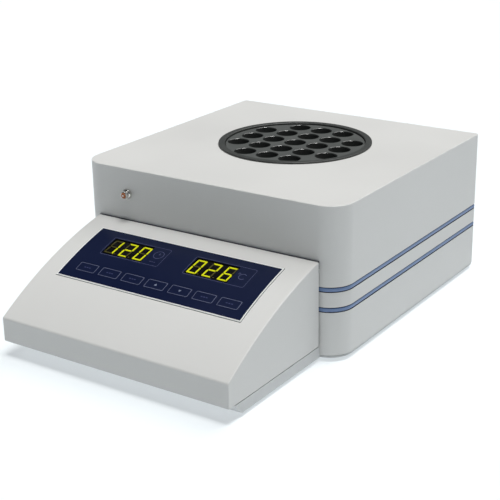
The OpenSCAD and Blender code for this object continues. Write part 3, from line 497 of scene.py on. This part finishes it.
def console_section(inset, back, bottom, foot=None):
    """Side view of the console as (y, z): curved top, rounded lip corner, lip, underside, back."""
    cy = LIP_Y + LIP_R
    cz = ARC_Z + sqrt((ARC_R - LIP_R) ** 2 - (cy - ARC_Y) ** 2)
    corner = asin((ARC_Y - cy) / (ARC_R - LIP_R))
    radius = ARC_R - inset
    start = asin((ARC_Y - back) / radius)
    points = [(ARC_Y - radius * sin(a), ARC_Z + radius * cos(a))
              for a in (start + (corner - start) * k / 56 for k in range(56))]
    turn = max(0.1, LIP_R - inset)
    points += [(cy - turn * sin(a), cz + turn * cos(a))
               for a in (corner + (pi / 2 - corner) * k / 8 for k in range(9))]
    points += foot or [(LIP_Y + inset, bottom)]
    return points + [(back, bottom)]


def across(sections):
    """Lofts (x, section) pairs across the console."""
    return loft([[(x, y, z) for y, z in section] for x, section in sections])


back_y = FRONT_Y - BACK_GAP
rounding = [(CONSOLE_X - SIDE_EDGE * (1 - cos(a)), SIDE_EDGE * (1 - sin(a))) for a in arc_steps(6)]
skins = [(-x, console_section(d, back_y, COVER_Z)) for x, d in rounding]
skins += [(x, console_section(d, back_y, COVER_Z)) for x, d in reversed(rounding)]
# the cover's second finish is painted gap shade
cover = make("console_hood", [across(skins)], [SLOTS["case_paint"], PRINT_AND_SHADE["joint"]])
hollow_foot = [(LIP_Y + WALL, COVER_Z + WALL), (LIP_Y + FLANGE, COVER_Z + WALL),
               (LIP_Y + FLANGE, COVER_Z - 5)]
hollow = console_section(WALL, FRONT_Y + 5, COVER_Z - 5, hollow_foot)
inner_x = CONSOLE_X - WALL
inside = make("inside", [across([(-inner_x, hollow), (inner_x, hollow)])],
              list(cover.data.materials))


def panel_plate(grow, up0, up1, index=0, step=2.0):
    """A plate with the key panel's outline, larger by grow on every side."""
    w, l = PANEL_W / 2 + grow, PANEL_L / 2 + grow
    return slab(PANEL_X - w, PANEL_X + w, PANEL_S - l, PANEL_S + l, up0, up1, index, step)


# painted shade: the seat cutter carries index 1, so the walls of the panel's recess in the cover take
# the dark gap shade
seat = make("seat", [panel_plate(RIM_W + SEAT_GAP, -6, 6, 1)], list(cover.data.materials))
cut(cover, inside, seat)
place(cover, "housing", "case_paint", "console_cover")

# painted shade: near-black strips set in the gaps, one between the cover's back and the case, one
# under the cover's foot
GAP_SHADE_X, GAP_SHADE_H, GAP_SHADE_IN, GAP_SHADE_W, GAP_SHADE_T, BITE = CONSOLE_X - 0.5, 6.0, 0.9, 1.0, 0.62, 0.02
shade_y0, shade_y1, shade_top = back_y - 0.05, FRONT_Y + BITE, BACK_Z - 0.1
back_gap_shade = [(shade_y0, BACK_Z - GAP_SHADE_H), (shade_y1, BACK_Z - GAP_SHADE_H), (shade_y1, shade_top),
             (shade_y0, shade_top)]
foot_section = ((GAP_SHADE_IN, COVER_Z - GAP_SHADE_T), (GAP_SHADE_IN, COVER_Z + BITE),
                (GAP_SHADE_IN + GAP_SHADE_W, COVER_Z + BITE), (GAP_SHADE_IN + GAP_SHADE_W, COVER_Z - GAP_SHADE_T))
foot_gap_shade = loft([[(side * (CONSOLE_X - d), LIP_Y + d if at_lip else back_y, z)
                   for d, z in foot_section]
                  for side, at_lip in ((-1, False), (-1, True), (1, True), (1, False))])
# painted shade, though filed under the black_rubber slot
place(make("console_gap_shade", [across([(-GAP_SHADE_X, back_gap_shade), (GAP_SHADE_X, back_gap_shade)]), foot_gap_shade],
           [PRINT_AND_SHADE["joint"]]), "housing", "black_rubber", angle=30)

# ---------- key panel ----------

key_spot, display_spot = spot_at(KEY_S), spot_at(DISPLAY_S)


def shifted(points, dx):
    return [(x + dx, y) for x, y in points]


def openings(grow):
    """Cutters for the two display windows and the seven keys."""
    w, l = DISPLAY_W / 2 + grow, DISPLAY_L / 2 + grow
    parts = [slab(x - w, x + w, DISPLAY_S - l, DISPLAY_S + l, -8, 8) for x, _ in DISPLAYS.values()]
    outline = round_rect(KEY_W + 2 * grow, KEY_L + 2 * grow, KEY_R + grow)
    parts += [prism(shifted(outline, x), key_spot, -8, 8) for x in KEY_X]
    return make("openings", parts, [])


film = make("panel_film", [panel_plate(-0.05, RIM_UP - SHEET_T, RIM_UP, step=1.5)],
            [SLOTS["overlay_navy"]])
cut(film, openings(0.25))
place(film, "housing", "overlay_navy", "panel_overlay")

carrier = make("panel_seat", [panel_plate(RIM_W - 0.05, -FRAME_T, RIM_UP - SHEET_T - 0.02)],
               [SLOTS["overlay_navy"]])
cut(carrier, openings(0.3))
place(carrier, "housing", "overlay_navy")


def rim_loop(u, v):
    """Section of the rim where the panel's outline points outwards along (u, v)."""
    outer = RIM_W - 0.12
    profile = [(0, -FRAME_T), (0, 0.32), (0.07, 0.45), (0.22, 0.52), (0.78, 0.52), (0.92, 0.44),
               (outer, 0.24), (outer, -FRAME_T)]
    return [on_curve(PANEL_X + u * (PANEL_W / 2 + d), PANEL_S + v * (PANEL_L / 2 + d), up)
            for d, up in profile]


RIM_STEPS = 24
climb = [2 * k / RIM_STEPS - 1 for k in range(RIM_STEPS + 1)]
rim_path = [(1, v) for v in climb] + [(-1, -v) for v in climb]
place(make("panel_rim", [loft([rim_loop(u, v) for u, v in rim_path], closed=True)],
           [SLOTS["rim_white"]]), "housing", "rim_white", "panel_frame", angle=60)

LINE_UP0, LINE_UP1 = RIM_UP - 0.1, RIM_UP + 0.02


def box_line(x0, x1, s0, s1, r=1.6):
    """Outline of a printed box with rounded corners, finely divided along the curve."""
    corners = round_rect(x1 - x0, s1 - s0, r, 5)
    points = []
    for i, (x, y) in enumerate(corners):
        nx, ny = corners[(i + 1) % len(corners)]
        steps = max(1, round(hypot(nx - x, ny - y) / 5))
        points += [(x + (nx - x) * k / steps, y + (ny - y) * k / steps) for k in range(steps)]
    return [(x + (x0 + x1) / 2, y + (s0 + s1) / 2) for x, y in points]


def circle_arc(x, s, r, start, end, steps):
    return [(x + r * cos(a), s + r * sin(a)) for a in arc_steps(steps, start, end)]


def line(path, width, closed=True):
    """A printed line on the panel's face."""
    return ribbon(path, width, LINE_UP0, LINE_UP1, closed=closed)


BOXES, BOX_S = ((-67.3, -10.8), (13.2, 68.4)), (27.2, 48.4)
CLOCK_X, CLOCK_S, CLOCK_R, HANDS = -17.8, 35.6, 4.3, ((0.2, -2.4), (1.5, -0.9))
DASH_X, DASH_S, DASH_L, DASH_PITCH = -20.4, 44.4, 1.1, 1.9
DEGREE, CELSIUS = (57.2, 34.9, 0.8), (61.3, 37.6, 3.0)
prints = [line(box_line(x0, x1, *BOX_S), 0.3) for x0, x1 in BOXES]
prints.append(line(circle_arc(CLOCK_X, CLOCK_S, CLOCK_R, 0, 351, 39), 0.42))
for dx, ds in HANDS:
    prints.append(line([(CLOCK_X, CLOCK_S), (CLOCK_X + dx, CLOCK_S + ds)], 0.4, closed=False))
for x in (DASH_X + DASH_PITCH * k for k in range(3)):
    prints.append(line([(x, DASH_S), (x + DASH_L, DASH_S)], 0.6, closed=False))
prints.append(line(circle_arc(*DEGREE, 0, 342, 19), 0.35))
prints.append(line(circle_arc(*CELSIUS, 40, 320, 30), 0.5, closed=False))
place(make("panel_prints", prints, [PRINT_AND_SHADE["line"]]), "housing", "overlay_navy", angle=60)

# ---------- keys ----------

KEY_EDGE, STEM_R, STEM_END, STEM_EDGE = 0.25, 1.4, -6.9, 0.3
BORDER_IN, MARK_W, MARK_L, MARK_PITCH = 0.8, 1.7, 0.9, 2.3
GLYPHS = {4: [(-1.3, -0.9), (1.3, -0.9), (0, 1.3)],  # up
          5: [(-1.3, 0.9), (0, -1.3), (1.3, 0.9)]}  # down
key_base = RIM_UP - KEY_T
key_levels = [(0.15, key_base), (0, key_base + 0.15)]
key_levels += [(KEY_EDGE * (1 - cos(a)), RIM_UP - KEY_EDGE * (1 - sin(a))) for a in arc_steps(4)]
stem_levels = [(STEM_R - STEM_EDGE, STEM_END), (STEM_R, STEM_END + STEM_EDGE),
               (STEM_R, key_base - 0.01)]
for number, centre in enumerate(KEY_X, 1):
    node = f"key_{number}"
    cap = loft([[key_spot(centre + x, y, up)
                 for x, y in round_rect(KEY_W - 2 * d, KEY_L - 2 * d, KEY_R - d)]
                for d, up in key_levels])
    stem = loft([[key_spot(centre + r * cos(a), r * sin(a), up) for a in arc_steps(23, 0, 345)]
                 for r, up in stem_levels])
    place(make(node + "_cap", [cap, stem], [SLOTS["overlay_navy"]]), node + "_cap",
          "overlay_navy", node)

    border = round_rect(KEY_W - BORDER_IN, KEY_L - BORDER_IN, KEY_R - 0.3)
    parts = [ribbon(shifted(border, centre), 0.34, LINE_UP0, LINE_UP1, spot=key_spot)]
    if number in GLYPHS:
        parts.append(prism(shifted(GLYPHS[number], centre), key_spot, LINE_UP0, LINE_UP1, 1))
    else:
        mark = round_rect(MARK_W, MARK_L, 0.4, 3)
        parts += [prism(shifted(mark, centre + MARK_PITCH * k), key_spot, LINE_UP0, LINE_UP1, 2)
                  for k in (-1, 0, 1)]
    place(make(node + "_print", parts, [PRINT_AND_SHADE["edge"], PRINT_AND_SHADE["glyph"], PRINT_AND_SHADE["mark"]]),
          node + "_cap", "overlay_navy", angle=60)

# ---------- digits ----------

LIT = {"0": "abcdef", "1": "bc", "2": "abdeg", "6": "acdefg"}
BAR_GAP = 0.2
half_h = (DIGIT_H - STROKE) / 2
# each segment's side, height and whether it stands upright
BARS = {"a": (0, half_h, 0), "g": (0, 0, 0), "d": (0, -half_h, 0), "f": (-1, half_h / 2, 1),
        "b": (1, half_h / 2, 1), "e": (-1, -half_h / 2, 1), "c": (1, -half_h / 2, 1)}


def bar(name, cx, index):
    """One segment with a softened face, mitred at the digit's corners and leaning with its digit."""
    side, cy, upright = BARS[name]
    half = (half_h if upright else DIGIT_W) / 2 - BAR_GAP
    outer = -side if upright else (cy > 0) - (cy < 0)

    def spot(px, py, up):
        x, y = (side * DIGIT_W / 2 - py, cy + px) if upright else (px, cy + py)
        return display_spot(cx + x + y * tan(radians(LEAN)), y, up)

    loops = []
    for shrink, up in ((0, FACE - DIGIT_T), (0, FACE - 0.1), (0.08, FACE)):
        w, e = STROKE / 2 - shrink, half - shrink
        points = []
        for end in (-1, 1):
            mitred = upright and cy * end > 0 or not upright and cy != 0
            for t in (-1, 0, 1):
                reach = e + (w * t * outer if mitred else -w * abs(t))
                points.append((end * reach, t * w if mitred else -end * t * w))
        points.sort(key=lambda q: atan2(q[1] / w, q[0] / e))
        loops.append([spot(px, py, up) for px, py in points])
    return loft(loops, index)


for name, (centre, shown) in DISPLAYS.items():
    parts = []
    for i, figure in enumerate(shown):
        cx = centre + (i - 1) * DIGIT_PITCH
        parts += [bar(b, cx, 0 if b in LIT[figure] else 1) for b in BARS]
        dot = [(cx + DIGIT_W / 2 + DOT_GAP + DOT_R * cos(a), -half_h + DOT_R * sin(a))
               for a in arc_steps(15, 0, 337.5)]
        parts.append(prism(dot, display_spot, FACE - DIGIT_T, FACE, 1))
    place(make(name + "_figures", parts, [SLOTS["segment_yellow"], PRINT_AND_SHADE["unlit"]]), "housing",
          "segment_yellow", name + "_digits", angle=40)

# ---------- probe socket ----------

SOCKET = (-75.0, 102.7)


def outward(profile):
    """Profile of (radius, distance out of the case's front) as heights along Y."""
    return [(r, FRONT_Y - out) for r, out in profile]


nut = [(5.0, -4), (5.0, -2.02), (3.1, -2.01), (3.1, 0), (4.3, 0), (4.3, 1.7), (4.1, 2.1),
       (3.7, 2.3), (3.05, 2.45), (3.05, 4.9), (2.9, 5.3), (2.6, 5.4), (2.35, 5.2), (2.25, 4.8),
       (2.2, -11), (3.0, -11), (3.0, -4)]
place(make("probe_barrel", [turned(outward(nut), SOCKET, 64, closed=True, axis="Y")],
           [SLOTS["nickel"]]), "housing", "nickel", "probe_socket", angle=40)
plug = [(2.15, -10.9), (2.15, 5.6), (2.0, 6.0), (1.7, 6.2), (1.0, 6.2), (0.85, 5.9), (0.8, 2),
        (0.8, -10.9)]
contact = [(0.75, -10.8), (0.75, 5.9), (0.6, 6.15), (0.3, 6.2)]
place(make("probe_core", [turned(outward(plug), SOCKET, 48, closed=True, axis="Y"),
                          turned(outward(contact), SOCKET, 32, 1, axis="Y")],
           [SLOTS["insulator_brown"], SLOTS["nickel"]]), "housing", "insulator_brown",
      "probe_insulator", angle=40)

# ---------- carried-over CAD nodes: better finishes ----------

for row in frame["record"]["subparts"]:
    node = frame["nodes"][row["node"]]
    finish = SLOTS[row["material_slot"]]
    if not node.material_slots:
        node.data.materials.append(finish)
    for held in node.material_slots:
        held.material = finish

# ---------- floor, lights and camera ----------

FLOOR = 8.0  # metres from the middle to each side
floor_mesh = bpy.data.meshes.new("floor")
floor_mesh.from_pydata([(FLOOR * x, FLOOR * y, 0) for x, y in ((-1, -1), (1, -1), (1, 1), (-1, 1))],
                       [], [(0, 1, 2, 3)])
floor = bpy.data.objects.new("floor", floor_mesh)
scene.collection.objects.link(floor)
floor_mesh.materials.append(material("floor_card", (0.48, 0.505, 0.52), glow=0.95, rough=0.9,
                                     specular=0.0, mottle=0.002, mottle_scale=3, grain=200,
                                     grain_h=0.0))

world = bpy.data.worlds.new("studio")
scene.world = world
world.use_nodes = True
backdrop = world.node_tree.nodes["Background"]
backdrop.inputs["Color"].default_value = (0.80, 0.92, 1.0, 1)
backdrop.inputs["Strength"].default_value = 0.055


def sun(name, toward, strength, spread, color):
    """A soft far light that shines from the direction toward."""
    data = bpy.data.lights.new(name, "SUN")
    data.energy, data.angle, data.color = strength, radians(spread), color
    lamp = bpy.data.objects.new(name, data)
    lamp.rotation_euler = Vector(toward).to_track_quat("Z", "Y").to_euler()
    scene.collection.objects.link(lamp)


WARM_WHITE = (1.0, 0.998, 0.985)
sun("key", (0.13, 0.0, 0.99), 2.45, 22, WARM_WHITE)
sun("rear", (0.10, 0.55, 0.83), 1.3, 40, WARM_WHITE)

CAMERA_AT, CAMERA_TURN, CAMERA_LENS = (530.5, -775.3, 403.4), (34.326, -20.661, -1.014), 87.18
camera_data = bpy.data.cameras.new("camera")
camera_data.lens, camera_data.sensor_width = CAMERA_LENS, 36
camera_data.clip_end = 60
camera = bpy.data.objects.new("camera", camera_data)
scene.collection.objects.link(camera)
yaw, pitch, roll = (radians(d) for d in CAMERA_TURN)
forward = Vector((-sin(yaw) * cos(pitch), cos(yaw) * cos(pitch), sin(pitch)))
side = Vector((cos(yaw), sin(yaw), 0))
above = side.cross(forward)
cam_x = side * cos(roll) + above * sin(roll)
cam_y = above * cos(roll) - side * sin(roll)
turn = Matrix((cam_x, cam_y, -forward)).transposed().to_4x4()
camera.matrix_world = Matrix.Translation(Vector(CAMERA_AT) * MM) @ turn
scene.camera = camera
scene.view_settings.view_transform = "Standard"
scene.view_settings.look = "None"

bpy.context.view_layer.update()
